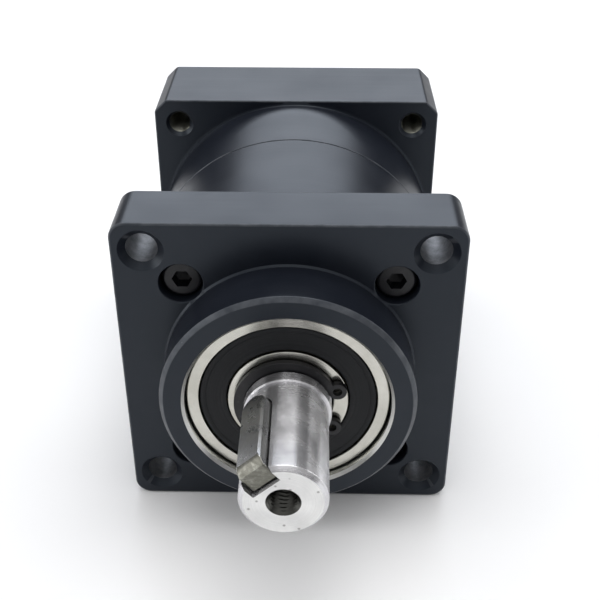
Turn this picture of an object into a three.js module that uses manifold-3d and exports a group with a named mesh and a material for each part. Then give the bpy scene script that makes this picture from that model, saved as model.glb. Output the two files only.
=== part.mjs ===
// Inline planetary gear reducer: one stage, four to one, 60 mm square flanges.
// Millimetres, +Z up, shaft axis along Y, output shaft towards -Y, motor side towards +Y.
// A "station" is a distance along the axis from the face of the output flange, + towards the motor.
import * as THREE from 'three';
import { mergeVertices } from 'three/addons/utils/BufferGeometryUtils.js';
import Module from 'manifold-3d';

const wasm = await Module();
wasm.setup();

// ---------------------------------------------------------------- driving dimensions
const FLANGE = 60;              // side of both square flanges
const BOLT_SQUARE = 49.5;       // side of the mounting hole square (70 mm pitch circle)
const FIT = 0.3;                // gap left between pieces that touch in the real thing

const SHAFT_END = -32.5;        // free end of the output shaft
const OUT_FACE = 0;             // face of the output flange
const OUT_BACK = 12;            // back of the output flange
const JOINT = 36;               // joint between ring gear body and input housing
const IN_BACK = 53.5;           // back of the input flange
const IN_FACE = 74;             // motor face of the input flange

const BOSS_R = 22.15;           // pilot boss on the output flange
const BOSS_FACE = -10;
const BODY_R = 29;              // ring gear body and housing neck
const SPIGOT_R = 22.5;          // spigots that centre the housings in the ring gear body
const WEB = { from: 2.9, to: 5.9, bore: 14 };   // web between the two output bearings

const CASE_SCREW_R = 26;        // pitch radius of the case screws
const M4 = { shank: 2, head: 3.5, headLength: 4, key: 1.5, hole: 2.4, sink: 3.8 };
const M3 = { shank: 1.5, head: 2.6, headLength: 1.8, key: 1, hole: 1.9, sink: 2.95 };

const MODULE = 0.75;            // gear module
const SUN_TEETH = 18;
const PLANET_TEETH = 18;
const RING_TEETH = 54;
const PRESSURE = THREE.MathUtils.degToRad(20);
const THINNING = 0.12;          // taken off each tooth for backlash
const PLANET_ANGLES = [90, 210, 330];
const GEAR_START = 23.6;
const GEAR_END = 33.1;
const PLANET_ORBIT = MODULE * (SUN_TEETH + PLANET_TEETH) / 2;

const SHAFT_R = 7;              // output journal, 14 mm
const SEAT_R = 7.5;             // seat of the front bearing, 15 mm
const REAR_SEAT_R = 8.5;        // seat of the rear bearing, 17 mm
const SHOULDER = -12.2;         // end of the 14 mm journal
const KEY = 5;                  // width of both keys
const KEY_ANGLE = 132;          // direction of the output key, degrees from +X towards +Z
const KEY_FLOOR = 4;            // near side of the output key to the shaft axis
const KEY_TOP = 8.3;            // far side of the output key to the shaft axis
const SLOT_END = -14.6;         // round end of the output key seat
const CARRIER_R = 18.6;
const CARRIER_FACE = 22.5;
const POST_ORBIT = 15.3;
const POST_R = 3;
const PIN_R = 2.5;
const PIN_HOLE_R = PIN_R + FIT;
const PIN_START = 17.6;
const BUSH_R = 3.6;
const PLATE_START = 34.2;
const PLATE_END = 38.2;

const HOLLOW_R = 12.5;          // hollow input shaft
const HOLLOW_BORE_R = 7;
const HOLLOW_END = 66.7;
const HOLLOW_KEYWAY_R = 10.1;
const PILOT_R = 25;             // motor pilot recess
const PILOT_FLOOR = 68.7;
const RECESS_R = 20.1;          // bore around the hollow shaft, also the bearing seat

const FRONT_BEARING = {
  name: 'front_bearing', start: -8.4, width: 11, bore: SEAT_R, inner: 10.4, outer: 15.45, od: 17.5,
  ball: 2.7, balls: 8, facets: 36,
};
const REAR_BEARING = {
  name: 'rear_bearing', start: 6.2, width: 10, bore: REAR_SEAT_R, inner: 11, outer: 15.2, od: 17.5,
  ball: 2.3, balls: 8, facets: 24,
};
const INPUT_BEARING = {
  name: 'input_bearing', start: 44.5, width: 9, bore: HOLLOW_R, inner: 14.6, outer: 17.6, od: 19.8,
  ball: 1.8, balls: 8, facets: 36,
};

// ---------------------------------------------------------------- finishes
const finish = (name, color, metalness, roughness) =>
  Object.assign(new THREE.MeshStandardMaterial({ color, metalness, roughness }), { name });
const BLACK_ALUMINIUM = finish('black_anodised_aluminium', 0x2c3138, 0.6, 0.45);
const STEEL = finish('ground_steel', 0xc9ccd0, 1, 0.25);
const KEY_STEEL = finish('key_steel', 0x8d8a83, 1, 0.5);
const BEARING_STEEL = finish('bearing_steel', 0xd8d6cf, 1, 0.2);
const BLACK_STEEL = finish('black_oxide_steel', 0x1b1c1f, 0.8, 0.4);
const GEAR_STEEL = finish('gear_steel', 0x9a9b9d, 1, 0.35);
const RUBBER = finish('seal_rubber', 0x17181b, 0, 0.7);
const BRONZE = finish('bronze', 0xb08a4a, 1, 0.35);
const NYLON = finish('cage_nylon', 0x6b5a3a, 0, 0.6);
const FOIL = finish('label_foil', 0xdfe3e6, 0.5, 0.35);

// ---------------------------------------------------------------- solids
// A closed three.js geometry as a solid that can be joined and cut.
function solid(geometry) {
  geometry.deleteAttribute('normal');
  geometry.deleteAttribute('uv');
  const welded = mergeVertices(geometry, 1e-4);
  const corner = welded.index.array;
  const triangles = [];
  for (let i = 0; i < corner.length; i += 3) {
    const [a, b, c] = [corner[i], corner[i + 1], corner[i + 2]];
    if (a !== b && b !== c && c !== a) triangles.push(a, b, c);
  }
  return new wasm.Manifold(new wasm.Mesh({
    numProp: 3,
    vertProperties: Float32Array.from(welded.attributes.position.array),
    triVerts: Uint32Array.from(triangles),
  }));
}

// Joins or cuts a whole list of solids.
const join = (first, ...rest) => rest.reduce((sum, next) => sum.add(next), first);
const cut = (first, ...rest) => rest.reduce((left, next) => left.subtract(next), first);

// A ring or disc turned about the shaft axis from [radius, station] corners, anticlockwise.
function turned(profile, facets) {
  const closed = [...profile, profile[0]].map(([r, s]) => new THREE.Vector2(r, s));
  return solid(new THREE.LatheGeometry(closed, facets));
}

// A plain tube between two stations.
const tube = (inner, outer, from, to, facets) =>
  turned([[inner, from], [outer, from], [outer, to], [inner, to]], facets);

// A round bar along the axis direction, centred on (x, z), with an optional different end radius.
function bar(radius, from, to, { x = 0, z = 0, facets = 16, endRadius = radius } = {}) {
  const shape = new THREE.CylinderGeometry(endRadius, radius, to - from, facets);
  return solid(shape.translate(x, (from + to) / 2, z));
}

// A flat outline in the X-Z plane, pushed along the axis between two stations.
function prism(outline, from, to, hole) {
  const shape = new THREE.Shape(outline);
  if (hole) shape.holes.push(new THREE.Path(hole));
  const depth = to - from;
  const block = new THREE.ExtrudeGeometry(shape, { depth, bevelEnabled: false, curveSegments: 1 });
  return solid(block.translate(0, 0, -to).rotateX(Math.PI / 2));
}

// A block along the axis on the +X side, `wide` across, between two distances from the axis.
function block(wide, near, far, from, to) {
  const box = new THREE.BoxGeometry(far - near, to - from, wide);
  return solid(box.translate((near + far) / 2, (from + to) / 2, 0));
}

// The same block with its end towards the motor half round.
function roundedBlock(wide, near, far, from, to) {
  const centre = to - wide / 2;
  const end = new THREE.CylinderGeometry(wide / 2, wide / 2, far - near, 16).rotateZ(Math.PI / 2);
  return join(block(wide, near, far, from, centre), solid(end.translate((near + far) / 2, centre, 0)));
}

// The same solid turned about the axis, in degrees from +X towards +Z.
const swung = (piece, degrees) => piece.rotate([0, -degrees, 0]);

const polar = (radius, degrees) => {
  const angle = THREE.MathUtils.degToRad(degrees);
  return new THREE.Vector2(radius * Math.cos(angle), radius * Math.sin(angle));
};

// The same direction as a place across the axis, for bars and meshes.
function onOrbit(radius, degrees) {
  const { x, y: z } = polar(radius, degrees);
  return { x, z };
}

// Points on an arc round the origin, both ends included.
function arc(radius, from, to, steps) {
  return Array.from({ length: steps + 1 }, (_, i) => polar(radius, from + (to - from) * i / steps));
}

const circle = (radius, facets) => arc(radius, 0, 360, facets).slice(0, facets);

// A square outline with its corners rounded in several steps, or cut straight across in one.
function squareOutline(side, setback, steps) {
  const centre = side / 2 - setback;
  return [45, 135, 225, 315].flatMap((corner) => {
    const x = centre * Math.sign(Math.cos(THREE.MathUtils.degToRad(corner)));
    const z = centre * Math.sign(Math.sin(THREE.MathUtils.degToRad(corner)));
    return arc(setback, corner - 45, corner + 45, steps).map((p) => new THREE.Vector2(x + p.x, z + p.y));
  });
}

// The four corners of a square pattern, as {x, z} centres.
function fourCorners(offset) {
  return [[1, 1], [-1, 1], [-1, -1], [1, -1]].map(([i, j]) => ({ x: i * offset, z: j * offset }));
}

const MOUNT_HOLES = fourCorners(BOLT_SQUARE / 2);
const CASE_SCREWS = fourCorners(CASE_SCREW_R * Math.SQRT1_2);

// ---------------------------------------------------------------- gear teeth
const involute = (angle) => Math.tan(angle) - angle;

// Outline of a spur gear tooth ring: flanks are involutes, thinned or widened by `change` at the
// pitch circle. `radii` runs from root to tip, and `offset` turns a tooth off +X, in degrees.
function toothOutline(teeth, radii, change, offset) {
  const pitchR = MODULE * teeth / 2;
  const baseR = pitchR * Math.cos(PRESSURE);
  const halfAtPitch = (Math.PI * MODULE / 2 + change) / (2 * pitchR);
  const halfAt = (radius) => {
    const slope = Math.acos(baseR / Math.max(radius, baseR));
    return THREE.MathUtils.radToDeg(halfAtPitch + involute(PRESSURE) - involute(slope));
  };
  const points = [];
  for (let tooth = 0; tooth < teeth; tooth += 1) {
    const middle = offset + 360 * tooth / teeth;
    radii.forEach((radius) => points.push(polar(radius, middle - halfAt(radius))));
    [...radii].reverse().forEach((radius) => points.push(polar(radius, middle + halfAt(radius))));
  }
  return points;
}

const PINION_RADII = [5.85, 6.6, 7.38];
const RING_RADII = [19.65, 21.15];

// ---------------------------------------------------------------- fasteners
// Socket head cap screw: the head's flat end is at station `top`, the shank reaches `length` that `way`.
function capScrew(size, top, length, way) {
  const span = (a, b) => [Math.min(a, b), Math.max(a, b)];
  const under = top + way * size.headLength;
  const head = bar(size.head, ...span(top, under));
  const shank = bar(size.shank, ...span(under - way * 0.5, under + way * length), { facets: 8 });
  const socketFloor = top + way * size.headLength / 2;
  const socket = bar(size.key * 2 / Math.sqrt(3), ...span(top - way, socketFloor), { facets: 6 });
  return cut(join(head, shank), socket);
}

// ---------------------------------------------------------------- output housing
// Square flange with the pilot boss in front, a spigot behind and seats for both bearings.
function outputHousing() {
  const flange = prism(squareOutline(FLANGE, 3, 4), OUT_FACE, OUT_BACK);
  const boss = turned([
    [0, BOSS_FACE], [BOSS_R - 0.8, BOSS_FACE], [BOSS_R, BOSS_FACE + 0.8], [BOSS_R, 1], [0, 1],
  ], 48);
  const spigot = bar(SPIGOT_R, OUT_BACK - 1, 16.2, { facets: 48 });
  const seatR = FRONT_BEARING.od + FIT;
  const bore = turned([
    [0, BOSS_FACE - 1], [seatR + 1.5, BOSS_FACE - 1], [seatR, BOSS_FACE + 0.5],
    [seatR, WEB.from], [WEB.bore, WEB.from], [WEB.bore, WEB.to], [seatR, WEB.to],
    [seatR, 17.4], [0, 17.4],
  ], 40);
  const mountHoles = MOUNT_HOLES.flatMap((at) => [
    bar(2.75, OUT_FACE - 1, OUT_BACK + 1, { ...at, facets: 14 }),
    bar(4.35, OUT_FACE - 0.6, OUT_FACE + 1, { ...at, facets: 14, endRadius: 2.75 }),
    bar(2.75, OUT_BACK - 0.8, OUT_BACK + 0.8, { ...at, facets: 14, endRadius: 4.35 }),
  ]);
  const screwHoles = CASE_SCREWS.flatMap((at) => [
    bar(M4.hole, OUT_FACE + 1, OUT_BACK + 1, { ...at, facets: 10 }),
    bar(M4.sink, OUT_FACE - 0.02, 5.8, { ...at, facets: 16 }),
  ]);
  return cut(join(flange, boss, spigot), bore, ...mountHoles, ...screwHoles);
}

// ---------------------------------------------------------------- ring gear body
// Plain round sleeve between the flanges, internal teeth in the middle, tapped from both ends.
function ringGearBody() {
  const spigotBore = SPIGOT_R + FIT;
  const from = OUT_BACK + FIT;
  const to = JOINT;
  const sleeve = turned([
    [spigotBore, from], [BODY_R, from], [BODY_R, to], [spigotBore, to],
    [spigotBore, GEAR_END + 0.5], [22, GEAR_END + 0.5], [22, 18.3], [spigotBore, 18.3],
  ], 48);
  const planetAngle = PLANET_ANGLES[0];
  const spaces = toothOutline(RING_TEETH, RING_RADII, THINNING, planetAngle + 180 / RING_TEETH);
  const teeth = prism(circle(22.4, 48), GEAR_START - 1, GEAR_END + 0.5, spaces);
  const tapped = CASE_SCREWS.flatMap(({ x, z }) => [
    bar(M4.hole, from - 1, 23, { x, z, facets: 10 }),
    bar(M4.hole, 27, to + 1, { x, z, facets: 10 }),
  ]);
  return cut(join(sleeve, teeth), ...tapped);
}

// ---------------------------------------------------------------- input housing
// Round neck against the ring gear body, square motor flange with pilot recess, bearing seat.
function inputHousing() {
  const start = JOINT + FIT;
  const flange = prism(squareOutline(FLANGE, 2.5, 1), IN_BACK, IN_FACE);
  const neck = turned([
    [0, start - 1], [SPIGOT_R, start - 1], [SPIGOT_R, start], [BODY_R, start],
    [BODY_R, IN_BACK - 0.6], [BODY_R + 0.6, IN_BACK], [BODY_R + 0.6, IN_BACK + 1], [0, IN_BACK + 1],
  ], 48);
  const bore = turned([
    [0, start - 2], [20.5, start - 2], [20.5, 40], [15.5, 40], [15.5, 44.2], [RECESS_R, 44.2],
    [RECESS_R, PILOT_FLOOR], [PILOT_R, PILOT_FLOOR], [PILOT_R, IN_FACE - 0.4],
    [PILOT_R + 1.4, IN_FACE + 1], [0, IN_FACE + 1],
  ], 48);
  const mountHoles = MOUNT_HOLES.flatMap((at) => [
    bar(2.25, IN_BACK - 1, IN_FACE + 1, { ...at, facets: 14 }),
    bar(2.25, IN_FACE - 0.95, IN_FACE + 0.25, { ...at, facets: 14, endRadius: 3.7 }),
  ]);
  const screwHoles = CASE_SCREWS.flatMap((at) => [
    bar(M4.hole, start - 1, IN_FACE, { ...at, facets: 10 }),
    bar(M4.sink, 64.1, IN_FACE + 1, { ...at, facets: 16 }),
  ]);
  return cut(join(flange, neck), bore, ...mountHoles, ...screwHoles);
}

// ---------------------------------------------------------------- label
// Thin curved plate round the underside of the ring gear body.
function labelPlate() {
  const [from, to] = [-140, -40];
  const inner = arc(BODY_R + FIT, from, to, 16);
  const outer = arc(BODY_R + FIT + 0.25, to, from, 16);
  return prism([...inner, ...outer].reverse(), 14.6, 34.4);
}

// ---------------------------------------------------------------- output shaft
// Stepped output shaft with the planet carrier's front plate and its three posts.
function outputShaft() {
  const groove = FRONT_BEARING.start;
  const core = turned([
    [0, SHAFT_END], [SHAFT_R - 0.8, SHAFT_END], [SHAFT_R, SHAFT_END + 0.8], [SHAFT_R, SHOULDER],
    [SEAT_R - 0.3, SHOULDER], [SEAT_R, SHOULDER + 0.3], [SEAT_R, groove - 1.6], [6.9, groove - 1.6],
    [6.9, groove], [SEAT_R, groove], [SEAT_R, 6.2], [REAR_SEAT_R, 6.2], [REAR_SEAT_R, 16.8],
    [CARRIER_R, 16.8], [CARRIER_R, CARRIER_FACE], [0, CARRIER_FACE],
  ], 32);
  const posts = PLANET_ANGLES.map((degrees) => {
    const at = onOrbit(POST_ORBIT, degrees + 60);
    const post = bar(POST_R, CARRIER_FACE - 1, PLATE_START - FIT, { ...at, facets: 12 });
    return cut(post, bar(M3.hole, 27, PLATE_START, { ...at, facets: 10 }));
  });
  const pinHoles = PLANET_ANGLES.map((degrees) =>
    bar(PIN_HOLE_R, PIN_START - FIT, CARRIER_FACE + 1, { ...onOrbit(PLANET_ORBIT, degrees), facets: 12 }));
  const keySeat = roundedBlock(KEY + 2 * FIT, KEY_FLOOR - FIT, SHAFT_R + 1, SHAFT_END - 1, SLOT_END);
  const centreHole = join(
    bar(2.1, SHAFT_END - 1, SHAFT_END + 14),
    bar(3.3, SHAFT_END - 0.6, SHAFT_END + 0.6, { endRadius: 2.1 }),
  );
  return cut(join(core, ...posts), ...pinHoles, swung(keySeat, KEY_ANGLE), centreHole);
}

const outputKey = () =>
  swung(roundedBlock(KEY, KEY_FLOOR, KEY_TOP, SHAFT_END + 0.7, SLOT_END - FIT), KEY_ANGLE);

// External circlip in the groove in front of the bearing, its two lugs on the +X side.
function shaftCirclip() {
  const [tilt, half] = [-6, 26];
  const lug = { orbit: 9, radius: 1.6, hole: 0.8 };
  const span = [FRONT_BEARING.start - 1.3, FRONT_BEARING.start - 0.3];
  const from = tilt + half;
  const to = tilt - half + 360;
  const ring = prism([...arc(9.3, from, to, 20), ...arc(7.2, to, from, 20)], ...span);
  const lugCentres = [from, to].map((degrees) => onOrbit(lug.orbit, degrees));
  const ends = lugCentres.map((at) => bar(lug.radius, ...span, { ...at, facets: 12 }));
  const holes = lugCentres.map((at) => bar(lug.hole, span[0] - 1, span[1] + 1, { ...at, facets: 8 }));
  const clearance = bar(7.2, span[0] - 1, span[1] + 1, { facets: 20 });
  return cut(join(ring, ...ends), clearance, ...holes);
}

// ---------------------------------------------------------------- bearings
// Inner and outer rings of a ball bearing, each with a shallow groove for the balls.
function bearingRings({ start, width, bore, inner, outer, od, facets }) {
  const end = start + width;
  const middle = start + width / 2;
  const inside = turned([
    [bore + FIT, start], [inner, start], [inner, middle - 1.8], [inner - 0.6, middle],
    [inner, middle + 1.8], [inner, end], [bore + FIT, end],
  ], facets);
  const outside = turned([
    [outer, start], [od - 0.4, start], [od, start + 0.4], [od, end - 0.4], [od - 0.4, end], [outer, end],
    [outer, middle + 1.8], [outer + 0.6, middle], [outer, middle - 1.8],
  ], facets);
  return [inside, outside];
}

// Ring of balls joined by their cage.
function ballCage({ start, width, inner, outer, ball, balls }) {
  const middle = start + width / 2;
  const orbit = (inner + outer) / 2;
  const cage = tube(orbit - 0.6, orbit + 0.6, middle - 1, middle + 1, balls * 2);
  const round = Array.from({ length: balls }, (_, i) => {
    const { x, z } = onOrbit(orbit, 360 * i / balls);
    return solid(new THREE.SphereGeometry(ball, 6, 4).translate(x, middle, z));
  });
  return join(cage, ...round);
}

// Rubber seal between the rings, from one station on.
const bearingSeal = ({ inner, outer }, from) => tube(inner + FIT, outer - FIT, from, from + 0.8, 32);

// ---------------------------------------------------------------- planets
// Planet gear about its own axis. A gap faces the sun in its direction, and another faces the ring.
function planetGear(degrees) {
  const offset = degrees + 180 / PLANET_TEETH;
  const gear = prism(toothOutline(PLANET_TEETH, PINION_RADII, -THINNING, offset), GEAR_START, GEAR_END);
  return cut(gear, bar(BUSH_R + FIT, GEAR_START - 1, GEAR_END + 1));
}

const planetPin = () => bar(PIN_R, PIN_START, PLATE_END - 0.4, { facets: 12 });

// Rear plate of the carrier, held on the posts by three screws.
function carrierPlate() {
  const plate = tube(8.2, CARRIER_R, PLATE_START, PLATE_END, 32);
  const holes = PLANET_ANGLES.flatMap((degrees) => {
    const post = onOrbit(POST_ORBIT, degrees + 60);
    return [
      bar(PIN_HOLE_R, PLATE_START - 1, PLATE_END + 1, { ...onOrbit(PLANET_ORBIT, degrees), facets: 12 }),
      bar(M3.hole, PLATE_START - 1, PLATE_END, { ...post, facets: 10 }),
      bar(M3.sink, PLATE_END - M3.headLength - 0.5, PLATE_END + 1, { ...post, facets: 20 }),
    ];
  });
  return cut(plate, ...holes);
}

// ---------------------------------------------------------------- input shaft
// Hollow keyed shaft for the motor, a collar behind its bearing, and the sun gear on its nose.
function inputShaft() {
  const body = turned([
    [0, GEAR_END - 1], [5.6, GEAR_END - 1], [5.6, 41], [14, 41], [14, 44.2], [HOLLOW_R, 44.2],
    [HOLLOW_R, HOLLOW_END - 0.4], [HOLLOW_R - 0.4, HOLLOW_END], [0, HOLLOW_END],
  ], 36);
  const sunOutline = toothOutline(SUN_TEETH, PINION_RADII, -THINNING, PLANET_ANGLES[0]);
  const sun = prism(sunOutline, GEAR_START, GEAR_END);
  const bore = turned([
    [0, 43.5], [HOLLOW_BORE_R, 43.5], [HOLLOW_BORE_R, HOLLOW_END - 0.4],
    [HOLLOW_BORE_R + 1.4, HOLLOW_END + 1], [0, HOLLOW_END + 1],
  ], 28);
  const keyway = swung(block(KEY, 0, HOLLOW_KEYWAY_R, 45, HOLLOW_END + 1), 180);
  return cut(join(body, sun), bore, keyway);
}

// ---------------------------------------------------------------- o-rings
function oRing(middle, section) {
  const ring = new THREE.TorusGeometry(SPIGOT_R - 0.5, section, 4, 24);
  return solid(ring.rotateX(Math.PI / 2).translate(0, middle, 0));
}

// ---------------------------------------------------------------- assembly
// The whole part stands on the lower edges of its flanges, centred end to end.
const reducer = new THREE.Group();
reducer.name = 'gear_reducer';
reducer.position.set(0, -(SHAFT_END + IN_FACE) / 2, FLANGE / 2);

function addGroup(parent, name, { x = 0, z = 0 } = {}) {
  const group = new THREE.Group();
  group.name = name;
  group.position.set(x, 0, z);
  parent.add(group);
  return group;
}

const housing = addGroup(reducer, 'housing');
const outputRotor = addGroup(reducer, 'output_rotor');
const inputRotor = addGroup(reducer, 'input_rotor');

// Puts one finished piece into a group, with an optional place across the axis.
function place(group, name, piece, material, { x = 0, z = 0 } = {}) {
  const { vertProperties, triVerts } = piece.getMesh();
  const geometry = new THREE.BufferGeometry();
  geometry.setAttribute('position', new THREE.BufferAttribute(vertProperties, 3));
  geometry.setIndex(new THREE.BufferAttribute(triVerts, 1));
  const mesh = new THREE.Mesh(geometry, material);
  mesh.name = name;
  mesh.position.set(x, 0, z);
  group.add(mesh);
}

// The outer ring and the seals stay with the housing, the inner ring turns with its shaft.
function placeBearing(bearing, rotor, sealed) {
  const { name, start, width } = bearing;
  const [inside, outside] = bearingRings(bearing);
  place(rotor, `${name}_inner_ring`, inside, BEARING_STEEL);
  place(housing, `${name}_outer_ring`, outside, BEARING_STEEL);
  place(addGroup(reducer, `${name}_cage`), `${name}_balls`, ballCage(bearing), NYLON);
  if (!sealed) return;
  place(housing, `${name}_front_seal`, bearingSeal(bearing, start + 0.25), RUBBER);
  place(housing, `${name}_rear_seal`, bearingSeal(bearing, start + width - 1.05), RUBBER);
}

place(housing, 'output_housing', outputHousing(), BLACK_ALUMINIUM);
place(housing, 'ring_gear_body', ringGearBody(), BLACK_ALUMINIUM);
place(housing, 'input_housing', inputHousing(), BLACK_ALUMINIUM);
place(housing, 'label_plate', labelPlate(), FOIL);
place(housing, 'front_o_ring', oRing(17.3, 0.6), RUBBER);
place(housing, 'rear_o_ring', oRing(34.45, 0.5), RUBBER);
CASE_SCREWS.forEach((at, index) => {
  place(housing, `front_case_screw_${index + 1}`, capScrew(M4, 1.5, 16, 1), BLACK_STEEL, at);
  place(housing, `rear_case_screw_${index + 1}`, capScrew(M4, 68.4, 35, -1), BLACK_STEEL, at);
});

place(outputRotor, 'output_shaft', outputShaft(), STEEL);
place(outputRotor, 'output_key', outputKey(), KEY_STEEL);
place(outputRotor, 'shaft_circlip', shaftCirclip(), BLACK_STEEL);
place(outputRotor, 'bearing_spacer', tube(SEAT_R + FIT, 10, WEB.from, WEB.to, 24), STEEL);
place(outputRotor, 'carrier_plate', carrierPlate(), GEAR_STEEL);
placeBearing(FRONT_BEARING, outputRotor, true);
placeBearing(REAR_BEARING, outputRotor, false);

PLANET_ANGLES.forEach((degrees, index) => {
  const number = index + 1;
  const centre = onOrbit(PLANET_ORBIT, degrees);
  const planet = addGroup(outputRotor, `planet_${number}`, centre);
  const bush = tube(PIN_HOLE_R, BUSH_R, GEAR_START - 0.6, GEAR_END + 0.6, 16);
  const screw = capScrew(M3, PLATE_END, 8, -1);
  place(planet, `planet_gear_${number}`, planetGear(degrees), GEAR_STEEL);
  place(planet, `planet_bush_${number}`, bush, BRONZE);
  place(outputRotor, `planet_pin_${number}`, planetPin(), STEEL, centre);
  place(outputRotor, `carrier_screw_${number}`, screw, BLACK_STEEL, onOrbit(POST_ORBIT, degrees + 60));
});

place(inputRotor, 'input_shaft', inputShaft(), STEEL);
placeBearing(INPUT_BEARING, inputRotor, true);

export default reducer;
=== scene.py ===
import math

import bmesh
import bpy
from mathutils import Matrix, Vector


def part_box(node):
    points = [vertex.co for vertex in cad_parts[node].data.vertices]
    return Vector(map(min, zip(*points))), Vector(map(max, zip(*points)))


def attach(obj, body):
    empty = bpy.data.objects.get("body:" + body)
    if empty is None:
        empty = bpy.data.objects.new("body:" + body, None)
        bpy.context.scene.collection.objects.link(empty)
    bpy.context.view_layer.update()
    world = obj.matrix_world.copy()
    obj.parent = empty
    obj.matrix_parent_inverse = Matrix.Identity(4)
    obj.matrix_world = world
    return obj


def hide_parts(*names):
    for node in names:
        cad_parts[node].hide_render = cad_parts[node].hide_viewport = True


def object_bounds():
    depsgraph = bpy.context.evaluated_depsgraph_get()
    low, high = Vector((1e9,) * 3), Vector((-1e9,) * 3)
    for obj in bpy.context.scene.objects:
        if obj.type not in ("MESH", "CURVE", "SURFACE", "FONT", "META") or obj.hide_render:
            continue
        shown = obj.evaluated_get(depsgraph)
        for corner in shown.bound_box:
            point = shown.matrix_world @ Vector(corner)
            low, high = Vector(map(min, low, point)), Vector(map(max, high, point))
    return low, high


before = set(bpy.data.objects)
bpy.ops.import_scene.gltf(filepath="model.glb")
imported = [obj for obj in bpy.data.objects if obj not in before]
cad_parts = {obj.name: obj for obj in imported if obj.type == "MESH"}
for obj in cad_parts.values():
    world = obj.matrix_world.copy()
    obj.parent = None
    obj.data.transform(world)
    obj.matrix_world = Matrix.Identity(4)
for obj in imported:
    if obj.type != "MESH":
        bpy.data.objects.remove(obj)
cad_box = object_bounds()

# Sizes below are millimetres about the shaft axis: (radius, station) in a turned profile,
# (x, station, z) in space. Station 0 is the face of the output flange, + towards the motor.
MM = 0.001
BOSS_FACE = -10
SHAFT_END = -32.5
FLANGE_BACK = 12
JOINT = 36
NECK_END = 53.5
MOTOR_FACE = 74
HALF_FLANGE = 30
BODY_R = 29
SPIGOT_R = 22.5
SEAT_BORE_R = 17.8         # bore of the output housing, for both bearings
PILOT_R = 25               # motor pilot recess
PILOT_FLOOR = 68.7
RECESS_R = 20.1            # bore round the hollow shaft
BOLT_OFFSET = 24.75        # mounting holes, across and up
SCREW_OFFSET = 26 * math.sqrt(0.5)
SCREW_HOLE_R = 2.4
SINK_R = 3.8               # counterbore of a case screw
SHAFT_R = 7
SHOULDER = -12.2
KEY_ANGLE = 132            # direction of the output key, degrees from +X towards +Z
SLOT_END = -14.6
POST_ORBIT = 15.3
PIN_ORBIT = 13.5
PLANETS = (90, 210, 330)
MODULE = 0.75
SUN_FLANK = (5.85, 6.2, 6.6, 7.0, 7.38)
RING_FLANK = (19.65, 20.4, 21.15)
PRESSURE = math.radians(20)
FINE = 160                 # facets round a large turned piece
HOLE_FACETS = 64

flange_low, flange_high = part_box("output_housing")
ORIGIN = Vector((0, flange_low.y - BOSS_FACE * MM, (flange_low.z + flange_high.z) / 2))


# ---------------------------------------------------------------- shapes
def soften(corners, steps=3):
    """The polygon (a, b) or (a, b, setback): a corner with a setback becomes a short curve."""
    points = []
    for i, corner in enumerate(corners):
        here = Vector(corner[:2])
        if len(corner) < 3:
            points.append(here)
            continue
        before, after = Vector(corners[i - 1][:2]), Vector(corners[(i + 1) % len(corners)][:2])
        start = here + (before - here).normalized() * corner[2]
        end = here + (after - here).normalized() * corner[2]
        for k in range(steps + 1):
            t = k / steps
            points.append(start * (1 - t) ** 2 + here * (2 * t * (1 - t)) + end * t * t)
    return points


def solid(points, faces):
    """A closed mesh from (x, station, z) points, its normals outwards."""
    mesh = bpy.data.meshes.new("solid")
    mesh.from_pydata([Vector(p) * MM for p in points], [], faces)
    shape = bmesh.new()
    shape.from_mesh(mesh)
    bmesh.ops.remove_doubles(shape, verts=shape.verts, dist=1e-7)
    bmesh.ops.recalc_face_normals(shape, faces=shape.faces)
    shape.to_mesh(mesh)
    shape.free()
    made = bpy.data.objects.new("solid", mesh)
    bpy.context.scene.collection.objects.link(made)
    return made


def skinned(rings, closed):
    """A mesh over equal rings of points, either closed on itself or with both ends capped."""
    count = len(rings[0])
    points = [p for ring in rings for p in ring]
    faces = []
    for i in range(len(rings) if closed else len(rings) - 1):
        here, there = i * count, (i + 1) % len(rings) * count
        for k in range(count):
            after = (k + 1) % count
            faces.append((here + k, here + after, there + after, there + k))
    if not closed:
        last = (len(rings) - 1) * count
        faces += [tuple(range(count))[::-1], tuple(range(last, last + count))]
    return solid(points, faces)


def turned(corners, x=0, z=0, facets=FINE):
    """A closed profile of (radius, station) corners turned about an axis through (x, z)."""
    profile = soften(corners)
    turns = [2 * math.pi * i / facets for i in range(facets)]
    rings = [[(x + r * math.cos(a), s, z + r * math.sin(a)) for r, s in profile] for a in turns]
    return skinned(rings, closed=True)


def lofted(sections):
    """A bar along the axis through (outline, station) sections, each outline a list of (x, z)."""
    return skinned([[(x, s, z) for x, z in outline] for outline, s in sections], closed=False)


def tapped(x, z, from_s, to_s, core=2.1, depth=0.42, pitch=0.8):
    """The space of a tapped hole: a round bar whose surface is one helical thread."""
    facets, per_turn = 32, 6
    rings = []
    for i in range(round((to_s - from_s) / pitch * per_turn) + 1):
        s = from_s + i * pitch / per_turn
        ring = []
        for k in range(facets):
            turn = k / facets
            phase = (s / pitch - turn) % 1
            r = core + depth * (1 - abs(2 * phase - 1))
            ring.append((x + r * math.cos(2 * math.pi * turn), s, z + r * math.sin(2 * math.pi * turn)))
        rings.append(ring)
    return skinned(rings, closed=False)


def combined(base, joins=(), cuts=()):
    """The base with solids joined to it and then cut out of it."""
    for tool, operation in [(t, "UNION") for t in joins] + [(t, "DIFFERENCE") for t in cuts]:
        step = base.modifiers.new("step", "BOOLEAN")
        step.solver = "MANIFOLD"
        step.operation = operation
        step.object = tool
    bpy.context.view_layer.update()
    final = base.evaluated_get(bpy.context.evaluated_depsgraph_get())
    base.data = bpy.data.meshes.new_from_object(final)
    base.modifiers.clear()
    for tool in [*joins, *cuts]:
        bpy.data.objects.remove(tool)
    return base


def polar(radius, degrees):
    return radius * math.cos(math.radians(degrees)), radius * math.sin(math.radians(degrees))


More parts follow.
